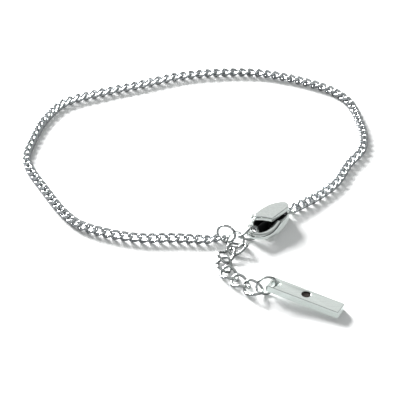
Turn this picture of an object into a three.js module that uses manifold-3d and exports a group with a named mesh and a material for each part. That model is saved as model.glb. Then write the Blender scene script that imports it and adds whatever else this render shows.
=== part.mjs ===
// A fine curb chain bracelet lying closed on a table, in millimetres with +Z up.
// A loop of small curb links runs from the clasp's eye to the end ring. A linking ring there holds
// the link that the clasp is hooked into, and a short row of larger curb links with a flat bar at its
// end, in front of the loop.

import * as THREE from 'three';
import { mergeVertices } from 'three/addons/utils/BufferGeometryUtils.js';
import Module from 'manifold-3d';

const wasm = await Module();
wasm.setup();

// A curb link is an oval of wire whose sides are twisted, so that a row of links lies flat.
// The link is given by the half sizes of its wire's middle line, the rise of its twist and the
// wire's diameter.
const CHAIN_LINK = { halfLength: 1.08, halfWidth: 0.63, twist: -0.35, wire: 0.5, corners: 10, wireSides: 5 };
const CHAIN_PITCH = 1.6;
const EXTENDER_LINK = {
  halfLength: 1.78, halfWidth: 1.25, twist: -0.48, wire: 0.45, corners: 14, wireSides: 6,
};

// The extender's links on the table, from the linking ring to the bar's ring.
// Heading is the way a link points and roll its turn about that, in degrees.
const EXTENDER_LINKS = [
  { x: 6.45, y: -14.66, heading: -150, roll: 0 },
  { x: 4.5, y: -16.7, heading: -117, roll: 0 },
  { x: 3.95, y: -19.5, heading: -87, roll: 0 },
  { x: 4.85, y: -22.2, heading: -58, roll: 0 },
  { x: 6.75, y: -24.4, heading: -46, roll: 0 },
  { x: 8.8, y: -26.48, heading: -42, roll: 24 },
];

// The clasp lies on the table with its length along its own X, from the eye to the front of the claw.
// Every outline of it is a list of runs: a run is one smooth line and the next run starts with a corner.
const CLASP = { x: 15.5, y: -4.9, heading: -133 };
const PIVOT = { x: 2.0, y: -0.1, pin: 0.9, pinFoot: 0.08, bore: 1.14 };
const EYE = { x: -0.4, y: -0.35, outside: 1.9, hole: 1.14, low: 0.6, high: 0.98 };
const CLAW = { width: 1.3, height: 1.2, middle: 1.3, tipReach: 6.42, tipAngle: -16.5, steps: 18, sides: 10 };
const CLAW_ROUTE = [
  { x: 4.0, y: 1.0 },
  { x: 5.8, y: 1.6 },
  { x: 7.4, y: 1.8 },
  { x: 8.65, y: 1.4 },
  { x: 9.42, y: 0.55 },
  { x: 9.58, y: -0.45 },
  { x: 9.25, y: -1.4 },
];
const TRUNK = { low: 0, high: 1.55, rounding: 0.3, smoothness: 2 };
const TRUNK_RUNS = [
  [{ x: 0.2, y: 0.3 }, { x: 1.7, y: 1.0 }, { x: 3.8, y: 1.6 }, { x: 5.2, y: 1.85 }],
  [{ x: 5.6, y: 1.2 }],
  [{ x: 5.1, y: -0.1 }, { x: 4.4, y: -0.65 }, { x: 3.2, y: -1.0 }, { x: 1.6, y: -1.1 }, { x: 0.2, y: -0.9 }],
];
// The trunk's floor runs on under the lever, whose wall and gate swing just above it.
const FLOOR = { low: 0, high: 0.22, smoothness: 2 };
const FLOOR_RUNS = [
  [{ x: 2.0, y: -1.0 }],
  [{ x: 2.9, y: -2.0 }, { x: 4.2, y: -2.3 }, { x: 5.8, y: -2.3 }],
  [{ x: 7.0, y: -2.0 }],
  [{ x: 7.3, y: -0.9 }, { x: 7.2, y: 0.3 }, { x: 6.6, y: 1.3 }],
  [{ x: 5.2, y: 1.5 }],
  [{ x: 3.5, y: 0.9 }],
];
const PLATE = { low: 2.02, high: 2.88, rounding: 0.1, smoothness: 3 };
const PLATE_RUNS = [
  [{ x: 0.85, y: 0.5 }],
  [{ x: 5.35, y: 0.75 }, { x: 6.0, y: -0.6 }, { x: 6.95, y: -1.8 }],
  [
    { x: 6.6, y: -2.3 }, { x: 5.2, y: -2.52 }, { x: 3.8, y: -2.5 }, { x: 2.1, y: -2.2 },
    { x: 0.8, y: -1.5 }, { x: 0.15, y: -0.75 }, { x: 0.3, y: 0.0 },
  ],
];
const WALL = { low: 0.3, high: 2.1, smoothness: 2 };
const WALL_RUNS = [
  [{ x: 1.8, y: -1.95 }, { x: 2.7, y: -2.26 }, { x: 4.0, y: -2.44 }, { x: 5.7, y: -2.4 }],
  [{ x: 5.65, y: -1.92 }, { x: 4.0, y: -1.96 }, { x: 2.7, y: -1.74 }, { x: 2.0, y: -1.5 }],
];
const GATE = { low: 0.3, high: 2.1, reach: 5.95, tipOutside: -20.2, tipInside: -13.5, smoothness: 1 };
const GATE_OUTSIDE = [{ x: 5.0, y: -2.38 }, { x: 6.6, y: -2.42 }];
const GATE_INSIDE = [{ x: 6.6, y: -1.8 }, { x: 5.0, y: -1.96 }];
const KNOB = { x: 6.1, y: -2.8, diameter: 1.2, low: 0.55, high: 2.15 };
const CLASP_LINK = { x: 10.0, y: -0.5, heading: -20, roll: 80 };

// The bar is a flat tag with a hole at the end that hangs on its ring. That end lies on the ring's wire.
// A plain shallow dimple marks the top, placed from the hole along the bar and across it.
const BAR = { length: 13.2, width: 2.74, thickness: 1.3, rounding: 0.12, holeFromEnd: 1.22, hole: 1.35 };
const BAR_PLACE = { x: 12.5, y: -26.35, heading: -27.5, underHole: 0.85 };
const DIMPLE = { x: 5.5, y: 0.15, diameter: 1.5, depth: 0.2 };
const BAR_RING = { outside: 3.85, wire: 0.44, heading: -166, throughHole: 1.55 };

// Round rings standing on the table, each with its middle, the way its open face looks and its lean.
const TABLE_RINGS = [
  { name: 'chain_end_ring', outside: 3.65, wire: 0.46, x: 4.5, y: -12.3, facing: -110, lean: 5 },
  { name: 'linking_ring', outside: 3.24, wire: 0.44, x: 6.1, y: -12.9, facing: -111, lean: 58 },
];
const RING_CORNERS = 16;
const RING_WIRE_SIDES = 6;

// The loop's route on the table, from the clasp round the far side to the end ring.
// Roll is how far the links are turned about the route, in degrees.
const LOOP_ROUTE = [
  { x: 16.4, y: -3.6, roll: 55 },
  { x: 20.6, y: 0.1, roll: 30 },
  { x: 24.1, y: 4.4, roll: 20 },
  { x: 26.4, y: 9.8, roll: 15 },
  { x: 29.1, y: 14.5, roll: 15 },
  { x: 29.7, y: 19.0, roll: 10 },
  { x: 29.0, y: 25.0, roll: 5 },
  { x: 27.6, y: 30.2, roll: 0 },
  { x: 24.5, y: 34.2, roll: 0 },
  { x: 18.9, y: 37.5, roll: 0 },
  { x: 11.4, y: 40.1, roll: 0 },
  { x: 3.8, y: 40.3, roll: 0 },
  { x: -3.8, y: 39.1, roll: 0 },
  { x: -12.2, y: 35.8, roll: 0 },
  { x: -19.2, y: 33.1, roll: 0 },
  { x: -25.0, y: 30.1, roll: 0 },
  { x: -28.3, y: 25.0, roll: 0 },
  { x: -30.4, y: 17.7, roll: 0 },
  { x: -31.2, y: 12.2, roll: 0 },
  { x: -30.4, y: 8.7, roll: 0 },
  { x: -27.8, y: 3.1, roll: 10 },
  { x: -23.6, y: -4.9, roll: 20 },
  { x: -20.7, y: -8.3, roll: 30 },
  { x: -15.4, y: -10.9, roll: 35 },
  { x: -10.3, y: -12.1, roll: 35 },
  { x: -4.3, y: -12.1, roll: 35 },
  { x: 0.0, y: -12.4, roll: 20 },
  { x: 3.3, y: -12.0, roll: -20 },
];

const POST_SIDES = 14;
const BEVEL_STEPS = 2;
const BEYOND = 1;
const JOIN_DEPTH = 0.3;
const ROUTE_SAMPLES = 2000;
const WELD = 1e-4;
const STEEL = { color: 0xc4c9c7, roughness: 0.2, metalness: 1 };

const radians = THREE.MathUtils.degToRad;

function toSolid(geometry) {
  const bare = geometry.clone();
  bare.deleteAttribute('normal');
  bare.deleteAttribute('uv');
  const merged = mergeVertices(bare, WELD);
  const vertProperties = new Float32Array(merged.attributes.position.array);
  const triVerts = new Uint32Array(merged.index.array);
  return new wasm.Manifold(new wasm.Mesh({ numProp: 3, vertProperties, triVerts }));
}

function toGeometry(solid) {
  const { vertProperties, triVerts } = solid.getMesh();
  const geometry = new THREE.BufferGeometry();
  geometry.setAttribute('position', new THREE.BufferAttribute(vertProperties, 3));
  geometry.setIndex(new THREE.BufferAttribute(triVerts, 1));
  geometry.computeVertexNormals();
  return geometry;
}

function join(geometries) {
  return geometries.map(toSolid).reduce((joined, next) => joined.add(next));
}

// The middle line of a curb link's wire. The wire's section is turned so that one corner faces the
// link's middle.
class CurbLinkCurve extends THREE.Curve {
  constructor(link) {
    super();
    this.link = link;
  }

  getPoint(t, target = new THREE.Vector3()) {
    const { halfLength, halfWidth, twist, corners } = this.link;
    const halfCorner = 1 / (2 * corners);
    const angle = 2 * Math.PI * (t + halfCorner);
    return target.set(
      halfLength * Math.cos(angle),
      halfWidth * Math.sin(angle),
      twist * Math.sin(2 * angle),
    );
  }

  computeFrenetFrames(segments) {
    const tangents = [];
    const normals = [];
    const binormals = [];
    for (let step = 0; step <= segments; step += 1) {
      const tangent = this.getTangent((step % segments) / segments);
      const outward = this.getPoint(step / segments);
      outward.addScaledVector(tangent, -outward.dot(tangent)).normalize();
      tangents.push(tangent);
      normals.push(outward);
      binormals.push(new THREE.Vector3().crossVectors(tangent, outward));
    }
    return { tangents, normals, binormals };
  }
}

function curbLink(link) {
  return new THREE.TubeGeometry(new CurbLinkCurve(link), link.corners, link.wire / 2, link.wireSides, true);
}

function laidLink(link, { x, y, heading, roll }) {
  const geometry = curbLink(link).rotateX(radians(roll)).rotateZ(radians(heading));
  geometry.computeBoundingBox();
  return geometry.translate(x, y, -geometry.boundingBox.min.z);
}

function linksAlong(route, link, pitch) {
  const corners = route.map(({ x, y }) => new THREE.Vector3(x, y, 0));
  const curve = new THREE.CatmullRomCurve3(corners, false, 'centripetal');
  curve.arcLengthDivisions = ROUTE_SAMPLES;
  const steps = Math.round(curve.getLength() / pitch);
  const links = [];
  for (let step = 0; step <= steps; step += 1) {
    const share = step / steps;
    const { x, y } = curve.getPointAt(share);
    const tangent = curve.getTangentAt(share);
    const heading = THREE.MathUtils.radToDeg(Math.atan2(tangent.y, tangent.x));
    const along = curve.getUtoTmapping(share) * (route.length - 1);
    const row = Math.min(Math.floor(along), route.length - 2);
    const roll = THREE.MathUtils.lerp(route[row].roll, route[row + 1].roll, along - row);
    links.push(laidLink(link, { x, y, heading, roll }));
  }
  return links;
}

function ring({ outside, wire }) {
  return new THREE.TorusGeometry((outside - wire) / 2, wire / 2, RING_WIRE_SIDES, RING_CORNERS);
}

function outline(runs) {
  const shape = new THREE.Shape();
  runs.forEach((run, index) => {
    const [first, ...rest] = run.map(({ x, y }) => new THREE.Vector2(x, y));
    if (index === 0) {
      shape.moveTo(first.x, first.y);
    } else {
      shape.lineTo(first.x, first.y);
    }
    if (rest.length > 0) {
      shape.splineThru(rest);
    }
  });
  return shape;
}

function slab(runs, { low, high, rounding = 0, smoothness }) {
  const bevel = { bevelThickness: rounding, bevelSize: rounding, bevelOffset: -rounding };
  const settings = {
    ...bevel,
    bevelEnabled: rounding > 0,
    bevelSegments: BEVEL_STEPS,
    curveSegments: smoothness,
    depth: high - low - 2 * rounding,
  };
  return new THREE.ExtrudeGeometry(outline(runs), settings).translate(0, 0, low + rounding);
}

function post(diameter, low, high, { x, y }) {
  const geometry = new THREE.CylinderGeometry(diameter / 2, diameter / 2, high - low, POST_SIDES);
  return geometry.rotateX(Math.PI / 2).translate(x, y, (low + high) / 2);
}

function hole(diameter, high, place) {
  return toSolid(post(diameter, -BEYOND, high + BEYOND, place));
}

function aroundPivot(reach, degrees) {
  const turn = radians(degrees);
  return { x: PIVOT.x + reach * Math.cos(turn), y: PIVOT.y + reach * Math.sin(turn) };
}

function clawSweep() {
  const route = [...CLAW_ROUTE, aroundPivot(CLAW.tipReach, CLAW.tipAngle)];
  const middle = route.map(({ x, y }) => new THREE.Vector3(x, y, CLAW.middle));
  const extrudePath = new THREE.CatmullRomCurve3(middle, false, 'centripetal');
  const section = new THREE.Shape();
  section.absellipse(0, 0, CLAW.height / 2, CLAW.width / 2, 0, 2 * Math.PI);
  const settings = { steps: CLAW.steps, curveSegments: CLAW.sides / 2, extrudePath, bevelEnabled: false };
  return new THREE.ExtrudeGeometry(section, settings);
}

function claspBody() {
  const eye = post(EYE.outside, EYE.low, EYE.high, EYE);
  return join([clawSweep(), slab(TRUNK_RUNS, TRUNK), slab(FLOOR_RUNS, FLOOR), eye])
    .subtract(hole(EYE.hole, TRUNK.high, EYE))
    .subtract(hole(PIVOT.bore, TRUNK.high, PIVOT));
}

function claspLever() {
  const tip = [aroundPivot(GATE.reach, GATE.tipOutside), aroundPivot(GATE.reach, GATE.tipInside)];
  const gateRuns = [...GATE_OUTSIDE, ...tip, ...GATE_INSIDE].map((corner) => [corner]);
  return join([
    slab(PLATE_RUNS, PLATE),
    slab(WALL_RUNS, WALL),
    slab(gateRuns, GATE),
    post(KNOB.diameter, KNOB.low, KNOB.high, KNOB),
    post(PIVOT.pin, PIVOT.pinFoot, PLATE.low + JOIN_DEPTH, PIVOT),
  ]);
}

function barSolid() {
  const start = -BAR.holeFromEnd;
  const end = start + BAR.length;
  const side = BAR.width / 2;
  const corners = [{ x: start, y: -side }, { x: end, y: -side }, { x: end, y: side }, { x: start, y: side }];
  const size = { low: 0, high: BAR.thickness, rounding: BAR.rounding, smoothness: 1 };
  const dimple = post(DIMPLE.diameter, BAR.thickness - DIMPLE.depth, BAR.thickness + BEYOND, DIMPLE);
  return toSolid(slab(corners.map((corner) => [corner]), size))
    .subtract(hole(BAR.hole, BAR.thickness, { x: 0, y: 0 }))
    .subtract(toSolid(dimple));
}

function piece(name, geometry) {
  const mesh = new THREE.Mesh(geometry, new THREE.MeshStandardMaterial(STEEL));
  mesh.name = name;
  return mesh;
}

function standingRing({ name, outside, wire, x, y, facing, lean }) {
  const mesh = piece(name, ring({ outside, wire }));
  const height = (outside - wire) / 2 * Math.cos(radians(lean)) + wire / 2;
  mesh.position.set(x, y, height);
  mesh.rotation.set(0, radians(90 - lean), radians(facing), 'ZYX');
  return mesh;
}

const laid = new THREE.Group();
laid.add(piece('chain', toGeometry(join(linksAlong(LOOP_ROUTE, CHAIN_LINK, CHAIN_PITCH)))));

const clasp = new THREE.Group();
clasp.position.set(CLASP.x, CLASP.y, 0);
clasp.rotation.z = radians(CLASP.heading);
clasp.add(piece('clasp_body', toGeometry(claspBody())));
clasp.add(piece('clasp_lever', toGeometry(claspLever())));
clasp.add(piece('clasp_link', laidLink(EXTENDER_LINK, CLASP_LINK)));
laid.add(clasp);

TABLE_RINGS.forEach((row) => laid.add(standingRing(row)));

EXTENDER_LINKS.forEach((row, index) => {
  laid.add(piece(`extender_link_${index + 1}`, laidLink(EXTENDER_LINK, row)));
});

const bar = piece('bar', toGeometry(barSolid()));
const barTilt = Math.asin(BAR_PLACE.underHole / (BAR.length - BAR.holeFromEnd));
bar.position.set(BAR_PLACE.x, BAR_PLACE.y, BAR_PLACE.underHole);
bar.rotation.set(0, barTilt, radians(BAR_PLACE.heading), 'ZYX');
laid.add(bar);

const barRingTurn = radians(BAR_RING.heading);
laid.add(standingRing({
  ...BAR_RING,
  name: 'bar_ring',
  x: BAR_PLACE.x + BAR_RING.throughHole * Math.cos(barRingTurn),
  y: BAR_PLACE.y + BAR_RING.throughHole * Math.sin(barRingTurn),
  facing: BAR_RING.heading + 90,
  lean: 0,
}));

// The origin is the middle of the whole bracelet's footprint, on the table.
const bracelet = new THREE.Group();
bracelet.add(laid);
const middle = new THREE.Box3().setFromObject(laid, true).getCenter(new THREE.Vector3());
laid.position.set(-middle.x, -middle.y, 0);

export default bracelet;
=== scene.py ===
"""A fine curb chain bracelet lying closed on a pale table, dressed as polished and ground steel."""

import logging
import math
from dataclasses import dataclass, field
from enum import Enum
from typing import Any, Callable, Sequence

import bmesh
import bpy
from mathutils import Matrix, Vector


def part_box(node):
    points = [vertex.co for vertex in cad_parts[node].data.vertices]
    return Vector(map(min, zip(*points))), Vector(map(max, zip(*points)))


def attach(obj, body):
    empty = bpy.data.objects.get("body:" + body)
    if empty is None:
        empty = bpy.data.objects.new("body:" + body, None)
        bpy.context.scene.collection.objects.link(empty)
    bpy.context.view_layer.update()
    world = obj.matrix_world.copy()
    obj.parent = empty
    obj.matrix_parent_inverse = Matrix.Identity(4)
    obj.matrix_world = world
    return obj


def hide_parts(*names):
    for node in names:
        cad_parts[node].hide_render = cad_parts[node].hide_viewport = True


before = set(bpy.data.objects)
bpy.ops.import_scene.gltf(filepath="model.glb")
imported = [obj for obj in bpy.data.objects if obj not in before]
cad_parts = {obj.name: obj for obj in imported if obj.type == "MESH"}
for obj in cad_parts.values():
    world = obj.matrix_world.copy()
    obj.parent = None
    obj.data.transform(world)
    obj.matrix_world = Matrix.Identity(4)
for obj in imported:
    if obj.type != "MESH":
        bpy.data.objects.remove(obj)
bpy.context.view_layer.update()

LOG = logging.getLogger("bracelet")
MM = 0.001
FIXED_BODY = "bracelet"
LEVER_BODY = "lever"

# Places of the table's plan that more than one piece goes by: in millimetres, and in degrees from its X.
END_RING_AT = (4.5, -12.3)
BAR_HEADING = -27.5

# The noise that draws the marks of every finish: its octaves, how fast they fade, the part of its range
# that the gloss follows, and how strongly the relief shows.
MARK_DETAIL = 3.0
MARK_FADE = 0.6
MARK_RANGE = (0.3, 0.7)
RELIEF_STRENGTH = 0.5

# What the shells are made with: the way up, the profile of a round rim, the height within which an edge is
# level, the sides of a turned post, the faces across its rims and how far one smoothing goes.
UP = Vector((0.0, 0.0, 1.0))
ROUND_PROFILE = 0.5
LEVEL = 1e-6
POST_SIDES = 40
POST_RIM_STEPS = 5
SMOOTHING_FACTOR = 0.5

Runs = tuple[tuple[tuple[float, float], ...], ...]


def linear(hex_colour: str) -> tuple[float, float, float, float]:
    """Turn an sRGB hex colour into linear light.

    Args:
        hex_colour: A colour such as "#c4c9c7".

    Returns:
        Red, green, blue and an alpha of one.
    """
    channels = [int(hex_colour[place:place + 2], 16) / 255 for place in (1, 3, 5)]
    light = [c / 12.92 if c <= 0.04045 else ((c + 0.055) / 1.055) ** 2.4 for c in channels]
    return (light[0], light[1], light[2], 1.0)


def add_node(
    tree: bpy.types.NodeTree,
    kind: str,
    settings: dict[str, Any] | None = None,
    links: dict[str, bpy.types.NodeSocket] | None = None,
) -> bpy.types.Node:
    """Add a node with its settings and its links.

    Args:
        tree: The node tree that the node joins.
        kind: The node's type name.
        settings: Values by input name, or by attribute name where no input has that name.
        links: Output sockets by the name of the input that they feed.

    Returns:
        The new node.
    """
    node = tree.nodes.new(kind)
    for name, value in (settings or {}).items():
        if name in node.inputs:
            node.inputs[name].default_value = value
        else:
            setattr(node, name, value)
    for name, socket in (links or {}).items():
        tree.links.new(socket, node.inputs[name])
    return node


def bare_material(name: str) -> bpy.types.Material:
    """Make a material with an empty node tree."""
    material = bpy.data.materials.new(name)
    material.use_nodes = True
    material.node_tree.nodes.clear()
    return material


class Grain(Enum):
    """How the marks of a finish lie on the metal, as a stretch along its own X, Y and Z."""

    TUMBLED = (1.0, 1.0, 1.0)
    GROUND = (0.04, 1.0, 1.0)


@dataclass(frozen=True)
class SteelFinish:
    """A stainless steel surface: its colour, how sharply it mirrors and the marks of its making."""

    name: str
    bright: str
    worn: str
    roughness: tuple[float, float]
    mark_mm: float
    relief_mm: float
    grain: Grain
    turn: float = 0.0

    def material(self) -> bpy.types.Material:
        """Return the finish's material, made once."""
        made = bpy.data.materials.get(self.name)
        return made if made else self._build()

    def _build(self) -> bpy.types.Material:
        """Build the material from the finish's values.

        Returns:
            A metal whose gloss and tint vary with the marks, and whose relief follows them.
        """
        material = bare_material(self.name)
        tree = material.node_tree
        place = add_node(tree, "ShaderNodeTexCoord")
        turned = add_node(
            tree, "ShaderNodeMapping",
            {"Rotation": (0.0, 0.0, -self.turn), "Scale": self.grain.value},
            {"Vector": place.outputs["Object"]},
        )
        marks = add_node(
            tree, "ShaderNodeTexNoise",
            {"Scale": 1.0 / (self.mark_mm * MM), "Detail": MARK_DETAIL, "Roughness": MARK_FADE},
            {"Vector": turned.outputs["Vector"]},
        )
        shallow, deep = MARK_RANGE
        smooth, rough = self.roughness
        gloss = add_node(
            tree, "ShaderNodeMapRange",
            {"From Min": shallow, "From Max": deep, "To Min": smooth, "To Max": rough},
            {"Value": marks.outputs["Fac"]},
        )
        tint = add_node(tree, "ShaderNodeMix", {"data_type": "RGBA"}, {"Factor": marks.outputs["Fac"]})
        first_colour, second_colour, mixed_colour = tint.inputs[6], tint.inputs[7], tint.outputs[2]
        first_colour.default_value = linear(self.bright)
        second_colour.default_value = linear(self.worn)
        relief = add_node(
            tree, "ShaderNodeBump",
            {"Strength": RELIEF_STRENGTH, "Distance": self.relief_mm * MM},
            {"Height": marks.outputs["Fac"]},
        )
        metal = add_node(
            tree, "ShaderNodeBsdfPrincipled",
            {"Metallic": 1.0},
            {
                "Base Color": mixed_colour,
                "Roughness": gloss.outputs["Result"],
                "Normal": relief.outputs["Normal"],
            },
        )
        add_node(tree, "ShaderNodeOutputMaterial", {}, {"Surface": metal.outputs["BSDF"]})
        return material


# Drawn stainless wire, tumbled bright: near mirrors that show the white tent and the dark between the links.
DRAWN_WIRE = SteelFinish(
    "drawn_stainless_wire_tumbled", bright="#e2e4e5", worn="#d0d3d5", roughness=(0.1, 0.2),
    mark_mm=0.25, relief_mm=0.004, grain=Grain.TUMBLED,
)
# Thicker wire of the extender and the rings, a shade greyer, with a softer mirror.
RING_WIRE = SteelFinish(
    "drawn_stainless_ring_wire", bright="#d8dad9", worn="#c4c7c6", roughness=(0.12, 0.24),
    mark_mm=0.3, relief_mm=0.006, grain=Grain.TUMBLED,
)
# Cast stainless, tumbled in stone: a slightly waxy grey mirror with fine pits.
CAST_STEEL = SteelFinish(
    "cast_stainless_tumbled", bright="#dfe2e0", worn="#cdd1cf", roughness=(0.14, 0.26),
    mark_mm=0.35, relief_mm=0.01, grain=Grain.TUMBLED,
)
# Painted shade for the inside of the clasp: a dull dark grey that stands in for the shade between its two
# halves, so that its mouth shows dark.
PAINTED_SHADE_INSIDE = SteelFinish(
    "cast_stainless_painted_shade", bright="#2e3031", worn="#1c1d1e", roughness=(0.45, 0.6),
    mark_mm=0.3, relief_mm=0.01, grain=Grain.TUMBLED,
)
# The dimple's floor, oxidised and not ground: a dull brown-black spot in the bright bar.
DARK_RECESS = SteelFinish(
    "oxidised_stainless_recess", bright="#4c4542", worn="#2e2a28", roughness=(0.4, 0.55),
    mark_mm=0.3, relief_mm=0.01, grain=Grain.TUMBLED,
)
# Flat stock ground along its length: long fine lines that blur the mirror one way.
GROUND_STEEL = SteelFinish(
    "ground_stainless_flat_stock", bright="#e6ebe8", worn="#dbe1de", roughness=(0.16, 0.26),
    mark_mm=0.3, relief_mm=0.002, grain=Grain.GROUND, turn=math.radians(BAR_HEADING),
)


@dataclass
class Shell:
    """Points and faces of a mesh, in millimetres."""

    points: list[Vector] = field(default_factory=list)
    faces: list[tuple[int, ...]] = field(default_factory=list)

    def add(self, other: "Shell") -> None:
        """Join another shell's points and faces to this one."""
        start = len(self.points)
        self.points.extend(other.points)
        self.faces.extend(tuple(start + corner for corner in face) for face in other.faces)

    def moved(self, matrix: Matrix) -> "Shell":
        """Return the shell with its points moved by a matrix."""
        return Shell([matrix @ point for point in self.points], list(self.faces))

    def dress(self, piece: bpy.types.Object, finish: SteelFinish, chosen: Callable[[Vector], bool]) -> None:
        """Give some faces of the piece made from this shell a second material: painted shade, or the dimple's
        dark mark.

        Args:
            piece: The piece, whose faces come in this shell's order.
            finish: The second finish.
            chosen: Tells from a face's middle, in this shell's own plan, whether it gets that finish.
        """
        piece.data.materials.append(finish.material())
        for face, corners in zip(piece.data.polygons, self.faces):
            middle = sum((self.points[corner] for corner in corners), Vector()) / len(corners)
            face.material_index = int(chosen(middle))

    def lowest(self) -> float:
        """Return the height of the lowest point."""
        return min(point.z for point in self.points)

    def on_table(self, x: float, y: float) -> "Shell":
        """Return the shell at a place on the table with its lowest point on the table."""
        return self.moved(Matrix.Translation((x, y, -self.lowest())))

    def mesh(self, name: str, scale: float = 1.0) -> bpy.types.Mesh:
        """Make a Blender mesh of the shell.

        Args:
            name: The mesh's name.
            scale: The size of a millimetre in the mesh's own units.

        Returns:
            The mesh, smooth shaded, with its faces outward.
        """
        mesh = bpy.data.meshes.new(name)
        mesh.from_pydata([point * scale for point in self.points], [], self.faces)
        work = bmesh.new()
        work.from_mesh(mesh)
        bmesh.ops.recalc_face_normals(work, faces=work.faces)
        work.to_mesh(mesh)
        work.free()
        mesh.shade_smooth()
        return mesh

    @staticmethod
    def of(mesh: bpy.types.Mesh) -> "Shell":
        """Read a mesh that was made in millimetres."""
        return Shell([v.co.copy() for v in mesh.vertices], [tuple(p.vertices) for p in mesh.polygons])

    @staticmethod
    def taken(work: bmesh.types.BMesh) -> "Shell":
        """Read a draft that was made in millimetres, and free it."""
        mesh = bpy.data.meshes.new("draft")
        work.to_mesh(mesh)
        work.free()
        shell = Shell.of(mesh)
        bpy.data.meshes.remove(mesh)
        return shell


def tube(
    middle: Sequence[Vector],
    sideways: Sequence[Vector],
    upward: Sequence[Vector],
    half_across: float,
    half_up: float,
    sides: int,
    closed: bool,
) -> Shell:
    """Wrap a wire round its middle line.

    Args:
        middle: Points of the middle line.
        sideways: The section's first direction at each point.
        upward: The section's second direction at each point.
        half_across: Half the wire's size in the first direction.
        half_up: Half its size in the second direction.
        sides: Points in a section.
        closed: Whether the line ends where it starts.

    Returns:
        The wire's shell, with caps where it is open.
    """
    shell = Shell()
    rows = len(middle)
    for row in range(rows):
        for corner in range(sides):
            angle = 2 * math.pi * corner / sides
            across, up = half_across * math.cos(angle), half_up * math.sin(angle)
            shell.points.append(middle[row] + sideways[row] * across + upward[row] * up)
    for row in range(rows if closed else rows - 1):
        here = row * sides
        there = (row + 1) % rows * sides
        for corner in range(sides):
            following = (corner + 1) % sides
            shell.faces.append((here + corner, here + following, there + following, there + corner))
    if not closed:
        shell.faces.append(tuple(range(sides)))
        shell.faces.append(tuple(range((rows - 1) * sides, rows * sides)))
    return shell


def through(points: Sequence[Vector], power: float, extend: bool, share: float) -> Vector:
    """Give a point of the smooth line through a row of points.

    Args:
        points: The points that the line passes.
        power: A half for spacing by the root of the distances, nought for even spacing.
        extend: Whether the ends run on straight, or repeat their last point.
        share: How far along the row, from nought to one.

    Returns:
        The point on the line.
    """
    last = len(points) - 1
    row = min(int(share * last), last - 1)
    weight = share * last - row
    start, end = points[row], points[row + 1]
    before = points[row - 1] if row > 0 else (start * 2 - end if extend else start)
    after = points[row + 2] if row + 2 <= last else (end * 2 - start if extend else end)
    shortest = 1e-4
    parts = ((before, start), (start, end), (end, after))
    spans = [max((b - a).length ** power, shortest) for a, b in parts]
    leave = (start - before) / spans[0] - (end - before) / (spans[0] + spans[1]) + (end - start) / spans[1]
    arrive = (end - start) / spans[1] - (after - start) / (spans[1] + spans[2]) + (after - end) / spans[2]
    leave, arrive = leave * spans[1], arrive * spans[1]
    bend = (end - start) * 3 - leave * 2 - arrive
    turn = (start - end) * 2 + leave + arrive
    return start + leave * weight + bend * weight ** 2 + turn * weight ** 3


def outline(runs: Runs, steps: int) -> list[Vector]:
    """Trace an outline made of smooth runs with a corner between one run and the next.

    Args:
        runs: Rows of x and y, in millimetres.
        steps: Points for each part of a run.

    Returns:
        The outline's points in order.
    """
    traced: list[Vector] = []
    for run in runs:
        points = [Vector((x, y, 0.0)) for x, y in run]
        if len(points) == 1:
            traced.append(points[0])
            continue
        count = steps * (len(points) - 1)
        traced.extend(through(points, 0.0, False, step / count) for step in range(count + 1))
    return traced


@dataclass(frozen=True)
class Rise:
    """How a slab rises from its outline: its heights, the radius of its rims and the faces across a rim."""

    low: float
    high: float
    rim: float
    rim_steps: int = POST_RIM_STEPS


def slab(edge: Sequence[Vector], rise: Rise) -> Shell:
    """Raise an outline into a slab with rounded rims.

    Args:
        edge: The outline's points.
        rise: The slab's heights and rims.

    Returns:
        The slab's shell.
    """
    work = bmesh.new()
    corners = [work.verts.new((point.x, point.y, rise.low)) for point in edge]
    base = work.faces.new(corners)
    risen = bmesh.ops.extrude_face_region(work, geom=[base])["geom"]
    lifted = [part for part in risen if isinstance(part, bmesh.types.BMVert)]
    bmesh.ops.translate(work, verts=lifted, vec=(0, 0, rise.high - rise.low))
    rims = [e for e in work.edges if abs(e.verts[0].co.z - e.verts[1].co.z) < LEVEL]
    bmesh.ops.recalc_face_normals(work, faces=work.faces)
    if rise.rim > 0:
        bmesh.ops.bevel(
            work, geom=rims, offset=rise.rim, segments=rise.rim_steps, profile=ROUND_PROFILE, affect="EDGES",
            clamp_overlap=True,
        )
    return Shell.taken(work)


def round_rim(diameter: float, x: float, y: float, sides: int) -> list[tuple[float, float]]:
    """Return the points of a circle about a place."""
    turns = [2 * math.pi * step / sides for step in range(sides)]
    return [(x + diameter / 2 * math.cos(turn), y + diameter / 2 * math.sin(turn)) for turn in turns]


def turned_knob(diameter: float, x: float, y: float, rise: Rise) -> Shell:
    """Turn a post with rounded rims, like a small button.

    Args:
        diameter: The post's diameter.
        x: Its place along the clasp.
        y: Its place across the clasp.
        rise: Its heights and rims.

    Returns:
        The post's shell.
    """
    return slab([Vector((px, py, 0.0)) for px, py in round_rim(diameter, x, y, POST_SIDES)], rise)


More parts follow.
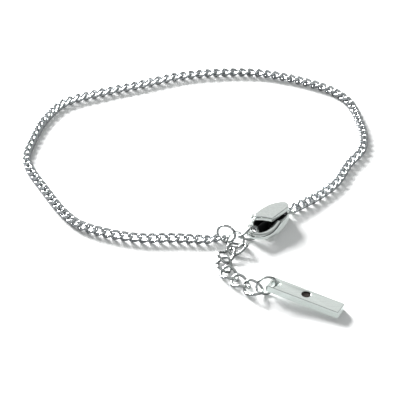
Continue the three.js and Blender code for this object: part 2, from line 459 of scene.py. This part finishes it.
def fused(shell: Shell, voxel: float, smoothing: int, bore: Shell | None = None) -> Shell:
    """Melt overlapping shells into one skin, as a casting has.

    Args:
        shell: The shells together, in millimetres.
        voxel: The skin's fineness.
        smoothing: How often the skin is smoothed.
        bore: A shell to cut out of the skin.

    Returns:
        One closed shell.
    """
    draft = bpy.data.objects.new("draft", shell.mesh("draft"))
    bpy.context.scene.collection.objects.link(draft)
    remesh = draft.modifiers.new("skin", "REMESH")
    remesh.mode = "VOXEL"
    remesh.voxel_size = voxel
    drill = bpy.data.objects.new("drill", bore.mesh("drill")) if bore else None
    if drill:
        bpy.context.scene.collection.objects.link(drill)
        cut = draft.modifiers.new("bore", "BOOLEAN")
        cut.operation = "DIFFERENCE"
        cut.object = drill
    soften = draft.modifiers.new("tumbling", "SMOOTH")
    soften.factor = SMOOTHING_FACTOR
    soften.iterations = smoothing
    shown = draft.evaluated_get(bpy.context.evaluated_depsgraph_get())
    mesh = bpy.data.meshes.new_from_object(shown)
    melted = Shell.of(mesh)
    # The cut lists its faces in another order each run.
    melted.faces.sort()
    bpy.data.objects.remove(draft)
    bpy.data.meshes.remove(mesh)
    if drill:
        bpy.data.objects.remove(drill)
    return melted


@dataclass(frozen=True)
class Place:
    """Where a link lies: a point of the table, the way it points and its turn about that, in degrees."""

    x: float
    y: float
    heading: float
    roll: float


@dataclass(frozen=True)
class CurbLink:
    """A curb link: an oval of round wire whose sides are twisted so that a row of links lies flat."""

    half_length: float
    half_width: float
    twist: float
    wire: float
    steps: int
    sides: int

    def middle(self, angle: float) -> Vector:
        """Return a point of the wire's middle line."""
        return Vector((
            self.half_length * math.cos(angle),
            self.half_width * math.sin(angle),
            self.twist * math.sin(2 * angle),
        ))

    def shell(self) -> Shell:
        """Build the link about its own middle.

        Returns:
            The link's shell.
        """
        angles = [2 * math.pi * step / self.steps for step in range(self.steps)]
        nudge = 1e-3
        middle = [self.middle(angle) for angle in angles]
        sideways, upward = [], []
        for angle, point in zip(angles, middle):
            tangent = (self.middle(angle + nudge) - self.middle(angle - nudge)).normalized()
            outward = (point - tangent * point.dot(tangent)).normalized()
            sideways.append(outward)
            upward.append(tangent.cross(outward))
        radius = self.wire / 2
        return tube(middle, sideways, upward, radius, radius, self.sides, True)

    def laid(self, place: Place) -> Shell:
        """Return the link turned and set down at a place."""
        heading = Matrix.Rotation(math.radians(place.heading), 4, "Z")
        roll = Matrix.Rotation(math.radians(place.roll), 4, "X")
        return self.shell().moved(heading @ roll).on_table(place.x, place.y)


class Table:
    """The table's own plan, which every place on it is given in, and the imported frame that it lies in."""

    RING_NODE = "chain_end_ring"

    def __init__(self) -> None:
        """Find the plan's origin from the end ring, whose place in the plan is known."""
        low, high = (Vector(corner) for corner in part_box(self.RING_NODE))
        centre = (low + high) / 2
        x, y = END_RING_AT
        self.origin = Vector((centre.x / MM - x, centre.y / MM - y, 0.0))

    def put(
        self,
        name: str,
        shell: Shell,
        finish: SteelFinish,
        nodes: Sequence[str],
        body: str = FIXED_BODY,
        flat: bool = False,
    ) -> bpy.types.Object:
        """Turn a shell into a piece of the bracelet.

        Args:
            name: The piece's name.
            shell: Its shell, in the plan's millimetres.
            finish: Its surface.
            nodes: The solids that it stands for.
            body: The body that it moves with.
            flat: Whether it has flat faces between narrow rounded rims.

        Returns:
            The piece.
        """
        mesh = shell.moved(Matrix.Translation(self.origin)).mesh(name, MM)
        mesh.materials.append(finish.material())
        piece = bpy.data.objects.new(name, mesh)
        bpy.context.scene.collection.objects.link(piece)
        if flat:
            piece.modifiers.new("flat_faces", "WEIGHTED_NORMAL")
        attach(piece, body)
        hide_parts(*nodes)
        LOG.info("%s: %d faces for %s", name, len(mesh.polygons), ", ".join(nodes))
        return piece


@dataclass
class LoopChain:
    """The long loop of small curb links, from the clasp's eye round the far side to the end ring.

    The route's rows are a point of the table's plan and the roll of the links there, in degrees.
    """

    link: CurbLink = CurbLink(half_length=1.08, half_width=0.63, twist=-0.35, wire=0.5, steps=30, sides=12)
    pitch: float = 1.6
    route: tuple[tuple[float, float, float], ...] = (
        (16.4, -3.6, 55), (20.6, 0.1, 30), (24.1, 4.4, 20), (26.4, 9.8, 15), (29.1, 14.5, 15),
        (29.7, 19.0, 10), (29.0, 25.0, 5), (27.6, 30.2, 0), (24.5, 34.2, 0), (18.9, 37.5, 0),
        (11.4, 40.1, 0), (3.8, 40.3, 0),
        (-3.8, 39.1, 0), (-12.2, 35.8, 0), (-19.2, 33.1, 0), (-25.0, 30.1, 0), (-28.3, 25.0, 0),
        (-30.4, 17.7, 0), (-31.2, 12.2, 0), (-30.4, 8.7, 0), (-27.8, 3.1, 10), (-23.6, -4.9, 20),
        (-20.7, -8.3, 30), (-15.4, -10.9, 35), (-10.3, -12.1, 35), (-4.3, -12.1, 35), (0.0, -12.4, 20),
        (3.3, -12.0, -20),
    )
    samples: int = 4000

    def places(self) -> list[Place]:
        """Share the links out along the route.

        Returns:
            A place for each link.
        """
        corners = [Vector((x, y, 0.0)) for x, y, _ in self.route]
        line = [through(corners, 0.5, True, step / self.samples) for step in range(self.samples + 1)]
        reached = [0.0]
        for start, end in zip(line, line[1:]):
            reached.append(reached[-1] + (end - start).length)
        count = round(reached[-1] / self.pitch)
        places: list[Place] = []
        step = 0
        for number in range(count + 1):
            goal = reached[-1] * number / count
            while step < self.samples - 1 and reached[step + 1] < goal:
                step += 1
            part = (goal - reached[step]) / (reached[step + 1] - reached[step])
            point = line[step].lerp(line[step + 1], part)
            way = line[step + 1] - line[step]
            along = (step + part) / self.samples * (len(corners) - 1)
            row = min(int(along), len(corners) - 2)
            roll_here, roll_next = self.route[row][2], self.route[row + 1][2]
            roll = roll_here + (roll_next - roll_here) * (along - row)
            places.append(Place(point.x, point.y, math.degrees(math.atan2(way.y, way.x)), roll))
        return places

    def build(self, table: Table) -> None:
        """Make the loop as one piece."""
        loop = Shell()
        for place in self.places():
            loop.add(self.link.laid(place))
        table.put("chain_links", loop, DRAWN_WIRE, ["chain"])


@dataclass(frozen=True)
class JumpRing:
    """A round ring bent from wire, with the cut where its ends meet."""

    node: str
    outside: float
    wire: float
    x: float
    y: float
    facing: float
    lean: float
    cut_at: float
    cut_mm: float = 0.05
    steps: int = 64
    sides: int = 16

    def build(self, table: Table) -> None:
        """Make the ring standing on the table."""
        radius = (self.outside - self.wire) / 2
        start = math.radians(self.cut_at) + self.cut_mm / 2 / radius
        sweep = 2 * math.pi - self.cut_mm / radius
        angles = [start + sweep * step / self.steps for step in range(self.steps + 1)]
        outward = [Vector((math.cos(angle), math.sin(angle), 0.0)) for angle in angles]
        thick = self.wire / 2
        middle = [way * radius for way in outward]
        shell = tube(middle, outward, [UP] * len(angles), thick, thick, self.sides, False)
        facing = Matrix.Rotation(math.radians(self.facing), 4, "Z")
        leaning = Matrix.Rotation(math.radians(90 - self.lean), 4, "Y")
        height = radius * math.cos(math.radians(self.lean)) + thick
        placed = shell.moved(Matrix.Translation((self.x, self.y, height)) @ (facing @ leaning))
        table.put(f"{self.node}_wire", placed, RING_WIRE, [self.node])


@dataclass
class Extender:
    """The row of larger links from the linking ring to the bar, and the two rings before its first link."""

    link: CurbLink = CurbLink(half_length=1.78, half_width=1.25, twist=-0.48, wire=0.48, steps=48, sides=14)
    places: tuple[Place, ...] = (
        Place(6.45, -14.66, -150, 0),
        Place(4.5, -16.7, -117, 0),
        Place(3.95, -19.5, -87, 0),
        Place(4.85, -22.2, -58, 0),
        Place(6.75, -24.4, -46, 0),
        Place(8.8, -26.48, -42, 24),
    )
    rings: tuple[JumpRing, ...] = (
        JumpRing("chain_end_ring", 3.65, 0.46, *END_RING_AT, facing=-110, lean=5, cut_at=150),
        JumpRing("linking_ring", 3.24, 0.44, 6.1, -12.9, facing=-111, lean=58, cut_at=100),
    )

    def build(self, table: Table) -> None:
        """Make the rings and the links."""
        for ring in self.rings:
            ring.build(table)
        for number, place in enumerate(self.places, 1):
            node = f"extender_link_{number}"
            table.put(f"{node}_wire", self.link.laid(place), RING_WIRE, [node])


@dataclass
class LobsterClasp:
    """The clasp, drawn along its own X from the eye to the front of the claw, and the link that it holds."""

    place: Place = Place(15.5, -4.9, -133, 0)
    pivot: tuple[float, float] = (2.0, -0.1)
    claw_route: tuple[tuple[float, float], ...] = (
        (4.0, 1.0), (5.8, 1.6), (7.4, 1.8), (8.65, 1.4), (9.42, 0.55), (9.58, -0.45), (9.25, -1.4),
    )
    claw_tip: tuple[float, float] = (8.156, -1.923)
    claw_width: float = 1.3
    claw_height: float = 1.2
    claw_middle: float = 1.3
    trunk: Rise = Rise(low=0.0, high=1.55, rim=0.3, rim_steps=4)
    bore: float = 1.14
    drill: Rise = Rise(low=-1.0, high=2.55, rim=0.0)
    pin_across: float = 0.9
    pin: Rise = Rise(low=0.08, high=2.3, rim=0.05)
    knob_at: tuple[float, float] = (6.1, -2.8)
    knob_across: float = 1.2
    knob: Rise = Rise(low=0.55, high=2.15, rim=0.2)
    trunk_runs: Runs = (
        ((0.2, 0.3), (1.7, 1.0), (3.8, 1.6), (5.2, 1.85)),
        ((5.6, 1.2),),
        ((5.1, -0.1), (4.4, -0.65), (3.2, -1.0), (1.6, -1.1), (0.2, -0.9)),
    )
    # The inner floor: a thin sheet across the hook's hollow, which gets the painted shade so that the mouth
    # shows dark instead of the lit table.
    floor: Rise = Rise(low=0.0, high=0.22, rim=0.03, rim_steps=2)
    floor_runs: Runs = (
        ((2.0, -1.0),),
        ((2.9, -2.0), (4.2, -2.3), (5.8, -2.3)),
        ((7.0, -2.0),),
        ((7.3, -0.9), (7.2, 0.3), (6.6, 1.3)),
        ((5.2, 1.5),),
        ((3.5, 0.9),),
    )
    plate: Rise = Rise(low=2.02, high=2.88, rim=0.12, rim_steps=4)
    plate_runs: Runs = (
        ((0.85, 0.5),),
        ((5.35, 0.75), (6.0, -0.6), (6.95, -1.8)),
        ((6.6, -2.3), (5.2, -2.52), (3.8, -2.5), (2.1, -2.2), (0.8, -1.5), (0.15, -0.75), (0.3, 0.0)),
    )
    wall: Rise = Rise(low=0.3, high=2.1, rim=0.06, rim_steps=3)
    wall_runs: Runs = (
        ((1.8, -1.95), (2.7, -2.26), (4.0, -2.44), (5.7, -2.4)),
        ((5.65, -1.92), (4.0, -1.96), (2.7, -1.74), (2.0, -1.5)),
    )
    gate: Rise = Rise(low=0.3, high=2.1, rim=0.1, rim_steps=3)
    gate_corners: tuple[tuple[float, float], ...] = (
        (5.0, -2.38), (6.6, -2.42), (7.584, -2.155), (7.786, -1.489), (6.6, -1.8), (5.0, -1.96),
    )
    eye_at: tuple[float, float] = (-0.4, -0.35)
    eye_outside: float = 1.9
    eye_hole: float = 1.14
    eye_heights: tuple[float, float] = (0.6, 0.98)
    held_link: Place = Place(10.0, -0.5, -20, 80)
    # Where the painted shade goes: along and across the clasp and under which height, and on the inner floor
    # from where along and how high up.
    inside_along: tuple[float, float] = (0.9, 7.6)
    inside_across: tuple[float, float] = (-2.3, 0.62)
    inside_top: float = 2.05
    floor_from: float = 5.7
    floor_margin: float = 0.1
    run_steps: int = 8
    skin: float = 0.06
    body_smoothing: int = 4
    lever_smoothing: int = 2

    def on_table(self) -> Matrix:
        """Return the move from the clasp's own plan to the table's."""
        turn = Matrix.Rotation(math.radians(self.place.heading), 4, "Z")
        return Matrix.Translation((self.place.x, self.place.y, 0.0)) @ turn

    def claw(self) -> Shell:
        """Sweep the hook from the trunk round to its tip.

        Returns:
            The claw's shell.
        """
        steps, sides = 72, 24
        route = [Vector((x, y, self.claw_middle)) for x, y in (*self.claw_route, self.claw_tip)]
        shares = [step / steps for step in range(steps + 1)]
        middle = [through(route, 0.5, True, share) for share in shares]
        ways = [(middle[min(n + 1, steps)] - middle[max(n - 1, 0)]).normalized() for n in range(steps + 1)]
        sideways = [UP.cross(way) for way in ways]
        half_width, half_height = self.claw_width / 2, self.claw_height / 2
        return tube(middle, sideways, [UP] * len(ways), half_width, half_height, sides, False)

    def eye_loop(self) -> Shell:
        """Bend the loop that the chain hangs on.

        Returns:
            The loop's shell.
        """
        steps, sides = 48, 16
        x, y = self.eye_at
        radius, half = (self.eye_outside + self.eye_hole) / 4, (self.eye_outside - self.eye_hole) / 4
        low, high = self.eye_heights
        angles = [2 * math.pi * step / steps for step in range(steps)]
        outward = [Vector((math.cos(angle), math.sin(angle), 0.0)) for angle in angles]
        middle = [Vector((x, y, (low + high) / 2)) + way * radius for way in outward]
        return tube(middle, outward, [UP] * steps, half, (high - low) / 2, sides, True)

    def body(self) -> Shell:
        """Cast the fixed half: claw, trunk, inner floor and eye in one skin.

        Returns:
            The body's shell.
        """
        whole = self.claw()
        whole.add(slab(outline(self.trunk_runs, self.run_steps), self.trunk))
        whole.add(slab(outline(self.floor_runs, self.run_steps), self.floor))
        whole.add(self.eye_loop())
        return fused(whole, self.skin, self.body_smoothing, turned_knob(self.bore, *self.pivot, self.drill))

    def lever(self) -> Shell:
        """Cast the thumb lever: its plate, the wall under it, the gate, the thumb knob and the pin.

        Returns:
            The lever's shell.
        """
        under = slab(outline(self.wall_runs, self.run_steps), self.wall)
        under.add(slab([Vector((x, y, 0.0)) for x, y in self.gate_corners], self.gate))
        under.add(turned_knob(self.knob_across, *self.knob_at, self.knob))
        under.add(turned_knob(self.pin_across, *self.pivot, self.pin))
        whole = fused(under, self.skin, self.lever_smoothing)
        whole.add(slab(outline(self.plate_runs, self.run_steps), self.plate))
        return whole

    def is_inside(self, spot: Vector) -> bool:
        """Tell whether a spot of the clasp lies between its two halves, where it gets painted shade.

        Args:
            spot: The spot, in the clasp's own plan.

        Returns:
            True for what lies under the plate, between the wall and the trunk's shoulder, and for the floor.
        """
        low_y, high_y = self.inside_across
        low_x, high_x = self.inside_along
        under_plate = spot.z < self.inside_top and low_x < spot.x < high_x and low_y < spot.y < high_y
        on_floor = spot.z < self.floor.high + self.floor_margin and self.floor_from < spot.x < high_x
        return under_plate or on_floor

    def build(self, table: Table, link: CurbLink) -> None:
        """Make the clasp's two halves and the held link."""
        move = self.on_table()
        body, lever = self.body(), self.lever()
        casting = table.put("clasp_casting", body.moved(move), CAST_STEEL, ["clasp_body"])
        thumb = table.put(
            "clasp_thumb_lever", lever.moved(move), CAST_STEEL, ["clasp_lever"], LEVER_BODY,
            flat=True,
        )
        # The faces between the two halves, and the inner floor, get the painted shade.
        for piece, shell in ((casting, body), (thumb, lever)):
            shell.dress(piece, PAINTED_SHADE_INSIDE, self.is_inside)
        held = link.laid(self.held_link).moved(move)
        table.put("clasp_link_wire", held, RING_WIRE, ["clasp_link"])


@dataclass
class TagBar:
    """The flat bar that hangs from the extender, with its ring, its hole and a plain round dimple."""

    length: float = 13.2
    width: float = 2.74
    thickness: float = 1.3
    hole_from_end: float = 1.22
    hole: float = 1.35
    dimple_at: tuple[float, float] = (5.5, 0.15)
    dimple_across: float = 1.5
    dimple_depth: float = 0.2
    place: Place = Place(12.5, -26.35, BAR_HEADING, 0)
    under_hole: float = 0.85
    ring_heading: float = -166.0
    ring_offset: float = 1.55
    ring_outside: float = 3.85
    ring_wire: float = 0.44
    ring_cut_at: float = 200.0
    rim: float = 0.12
    rim_steps: int = 3
    round_sides: int = 48
    recess_margin: float = 0.01

    def shell(self) -> Shell:
        """Cut the bar to its outline and round its rims.

        Returns:
            The bar's shell about the hole's middle, with its underside at nought.
        """
        start, side = -self.hole_from_end, self.width / 2
        end = start + self.length
        box = [(start, -side), (end, -side), (end, side), (start, side)]
        bore = round_rim(self.hole, 0.0, 0.0, self.round_sides)
        dent = round_rim(self.dimple_across, *self.dimple_at, self.round_sides)
        work = bmesh.new()

        def loop(rows: Sequence[tuple[float, float]], z: float) -> list[bmesh.types.BMVert]:
            """Set out the corners of a loop at a height."""
            return [work.verts.new((px, py, z)) for px, py in rows]

        def edges(corners: Sequence[bmesh.types.BMVert]) -> list[bmesh.types.BMEdge]:
            """Join a loop's corners in order."""
            return [work.edges.new((a, b)) for a, b in zip(corners, [*corners[1:], corners[0]])]

        def wall(lower: Sequence[bmesh.types.BMVert], upper: Sequence[bmesh.types.BMVert]) -> None:
            """Stand a wall between two loops."""
            count = len(lower)
            for n in range(count):
                work.faces.new((lower[n], lower[(n + 1) % count], upper[(n + 1) % count], upper[n]))

        top = self.thickness
        loops = {
            "box_low": loop(box, 0.0), "box_top": loop(box, top),
            "bore_low": loop(bore, 0.0), "bore_top": loop(bore, top),
            "dent_low": loop(dent, top - self.dimple_depth), "dent_top": loop(dent, top),
        }
        rims = {name: edges(corners) for name, corners in loops.items()}
        bmesh.ops.triangle_fill(work, edges=rims["box_low"] + rims["bore_low"], use_beauty=True)
        bmesh.ops.triangle_fill(
            work, edges=rims["box_top"] + rims["bore_top"] + rims["dent_top"], use_beauty=True)
        work.faces.new(loops["dent_low"])
        for name in ("box", "bore", "dent"):
            wall(loops[f"{name}_low"], loops[f"{name}_top"])
        bmesh.ops.recalc_face_normals(work, faces=work.faces)
        outer = set(loops["box_low"] + loops["box_top"])
        uprights = [
            e for e in work.edges
            if abs(e.verts[0].co.z - e.verts[1].co.z) > top / 2 and all(v in outer for v in e.verts)
        ]
        sharp = [e for name in ("box_low", "box_top", "bore_low", "bore_top", "dent_top") for e in rims[name]]
        bmesh.ops.bevel(
            work, geom=[e for e in sharp + uprights if e.is_valid], offset=self.rim, segments=self.rim_steps,
            profile=ROUND_PROFILE, affect="EDGES", clamp_overlap=True,
        )
        return Shell.taken(work)

    def is_recess(self, spot: Vector) -> bool:
        """Tell whether a spot of the bar lies in the dimple."""
        x, y = self.dimple_at
        reach = math.hypot(spot.x - x, spot.y - y)
        floor = self.thickness - self.dimple_depth
        return reach < self.dimple_across / 2 + self.recess_margin and spot.z > floor - self.recess_margin

    def build(self, table: Table) -> None:
        """Make the bar with its end on the ring, and the ring."""
        tilt = math.asin(self.under_hole / (self.length - self.hole_from_end))
        turn = Matrix.Rotation(math.radians(self.place.heading), 4, "Z") @ Matrix.Rotation(tilt, 4, "Y")
        move = Matrix.Translation((self.place.x, self.place.y, self.under_hole)) @ turn
        shell = self.shell()
        plate = table.put("bar_plate", shell.moved(move), GROUND_STEEL, ["bar"], flat=True)
        shell.dress(plate, DARK_RECESS, self.is_recess)
        ring_way = math.radians(self.ring_heading)
        JumpRing(
            "bar_ring", self.ring_outside, self.ring_wire,
            self.place.x + self.ring_offset * math.cos(ring_way),
            self.place.y + self.ring_offset * math.sin(ring_way),
            facing=self.ring_heading + 90, lean=0.0, cut_at=self.ring_cut_at,
        ).build(table)


@dataclass
class Studio:
    """A pale table top in a white tent, and the camera in the photograph's place.

    Sizes are in metres, and those of the bounce card in the plan's millimetres.
    """

    elevation: float = 36.0
    distance: float = 0.4
    lens: float = 205.2
    clip_start: float = 0.01
    floor_half: float = 3.0
    card_seen: str = "#f6f6f6"
    card_mirrored: str = "#909294"
    bounce_place: tuple[float, float, float] = (14.0, -20.0, 0.02)
    bounce_half: float = 26.0
    bounce_shade: str = "#cdd1cf"
    bounce_pieces: tuple[str, ...] = ("clasp_casting", "clasp_thumb_lever", "bar_plate")
    tent: tuple[tuple[float, str], ...] = (
        (0.0, "#0a0c0e"), (0.26, "#46484a"), (0.46, "#f2f5f4"), (0.7, "#eceeed"), (0.95, "#9a9e9e"),
    )
    side_walls: tuple[float, float] = (0.35, 0.8)
    side_share: float = 0.3
    key_place: tuple[float, float, float] = (-0.4, 0.6, 0.2)
    key_size: float = 0.36
    key_power: float = 40.0

    def build(self, table: Table) -> None:
        """Make the floor, the card, the light and the camera."""
        self.floor()
        self.bounce_card(table)
        self.tent_light()
        self.key_light()
        self.camera(table.origin * MM)

    def sheet(self, name: str, half: float, material: bpy.types.Material) -> bpy.types.Object:
        """Lay a square sheet on the table.

        Args:
            name: The sheet's name.
            half: Half its side, in metres.
            material: Its surface.

        Returns:
            The sheet, about the frame's origin.
        """
        work = bmesh.new()
        bmesh.ops.create_grid(work, x_segments=1, y_segments=1, size=half)
        mesh = bpy.data.meshes.new(name)
        work.to_mesh(mesh)
        work.free()
        mesh.materials.append(material)
        laid = bpy.data.objects.new(name, mesh)
        bpy.context.scene.collection.objects.link(laid)
        return laid

    def floor(self) -> None:
        """Lay the pale table top, which the steel mirrors a shade darker than the camera sees it."""
        material = bare_material("matt_white_card")
        tree = material.node_tree
        ray = add_node(tree, "ShaderNodeLightPath")
        seen = add_node(tree, "ShaderNodeBsdfDiffuse", {"Color": linear(self.card_seen)})
        mirrored = add_node(tree, "ShaderNodeBsdfDiffuse", {"Color": linear(self.card_mirrored)})
        both = add_node(tree, "ShaderNodeMixShader", {}, {"Fac": ray.outputs["Is Glossy Ray"]})
        tree.links.new(seen.outputs["BSDF"], both.inputs[1])
        tree.links.new(mirrored.outputs["BSDF"], both.inputs[2])
        add_node(tree, "ShaderNodeOutputMaterial", {}, {"Surface": both.outputs["Shader"]})
        floor = self.sheet("table_top", self.floor_half, material)

    def bounce_card(self, table: Table) -> None:
        """Lay a white card before the clasp and the bar, which only they mirror."""
        material = bare_material("lit_white_card")
        tree = material.node_tree
        clear = add_node(tree, "ShaderNodeBsdfTransparent")
        shine = add_node(tree, "ShaderNodeEmission", {"Color": linear(self.bounce_shade)})
        both = add_node(tree, "ShaderNodeAddShader")
        tree.links.new(clear.outputs["BSDF"], both.inputs[0])
        tree.links.new(shine.outputs["Emission"], both.inputs[1])
        add_node(tree, "ShaderNodeOutputMaterial", {}, {"Surface": both.outputs["Shader"]})
        card = self.sheet("bounce_card", self.bounce_half * MM, material)
        card.location = (table.origin + Vector(self.bounce_place)) * MM
        card.visible_camera = card.visible_diffuse = card.visible_shadow = False
        lit = bpy.data.collections.new("lit_by_bounce_card")
        for name in self.bounce_pieces:
            lit.objects.link(bpy.data.objects[name])
        card.light_linking.receiver_collection = lit

    def tent_light(self) -> None:
        """Light the table through a tent that is white above, dark at its foot and dim at its sides."""
        world = bpy.data.worlds.new("white_tent")
        world.use_nodes = True
        bpy.context.scene.world = world
        tree = world.node_tree
        tree.nodes.clear()
        place = add_node(tree, "ShaderNodeTexCoord")
        way = add_node(tree, "ShaderNodeSeparateXYZ", {}, {"Vector": place.outputs["Generated"]})
        ramp = add_node(tree, "ShaderNodeValToRGB", {}, {"Fac": way.outputs["Z"]})
        steps = ramp.color_ramp.elements
        while len(steps) < len(self.tent):
            steps.new(0.5)
        for step, (height, shade) in zip(steps, self.tent):
            step.position = height
            step.color = linear(shade)
        aside = add_node(tree, "ShaderNodeMath", {"operation": "ABSOLUTE"}, {"Value": way.outputs["X"]})
        low, high = self.side_walls
        dimmed = add_node(
            tree, "ShaderNodeMapRange",
            {"From Min": low, "From Max": high, "To Min": 1.0, "To Max": self.side_share},
            {"Value": aside.outputs["Value"]},
        )
        tent = add_node(
            tree, "ShaderNodeBackground", {},
            {"Color": ramp.outputs["Color"], "Strength": dimmed.outputs["Result"]},
        )
        add_node(tree, "ShaderNodeOutputWorld", {}, {"Surface": tent.outputs["Background"]})

    def key_light(self) -> None:
        """Hang a square softbox low behind on the left, which looks at the bracelet."""
        lamp = bpy.data.lights.new("key_softbox", "AREA")
        lamp.size = self.key_size
        lamp.energy = self.key_power
        hung = bpy.data.objects.new("key_softbox", lamp)
        hung.location = self.key_place
        hung.rotation_euler = (-Vector(self.key_place)).to_track_quat("-Z", "Y").to_euler()
        bpy.context.scene.collection.objects.link(hung)

    def camera(self, target: Vector) -> None:
        """Set the camera up at the photograph's angle."""
        rise = math.radians(self.elevation)
        camera = bpy.data.cameras.new("camera")
        camera.lens = self.lens
        camera.clip_start = self.clip_start
        holder = bpy.data.objects.new("camera", camera)
        holder.location = target + Vector((0.0, -math.cos(rise), math.sin(rise))) * self.distance
        holder.rotation_euler = (math.pi / 2 - rise, 0.0, 0.0)
        bpy.context.scene.collection.objects.link(holder)
        bpy.context.scene.camera = holder
        bpy.context.scene.view_settings.view_transform = "Standard"


def main() -> None:
    """Build the bracelet's sub-assemblies in order, then the studio."""
    logging.basicConfig(level=logging.INFO, format="%(name)s: %(message)s")
    table = Table()
    extender = Extender()
    LoopChain().build(table)
    extender.build(table)
    LobsterClasp().build(table, extender.link)
    TagBar().build(table)
    Studio().build(table)


if __name__ == "__main__":
    main()
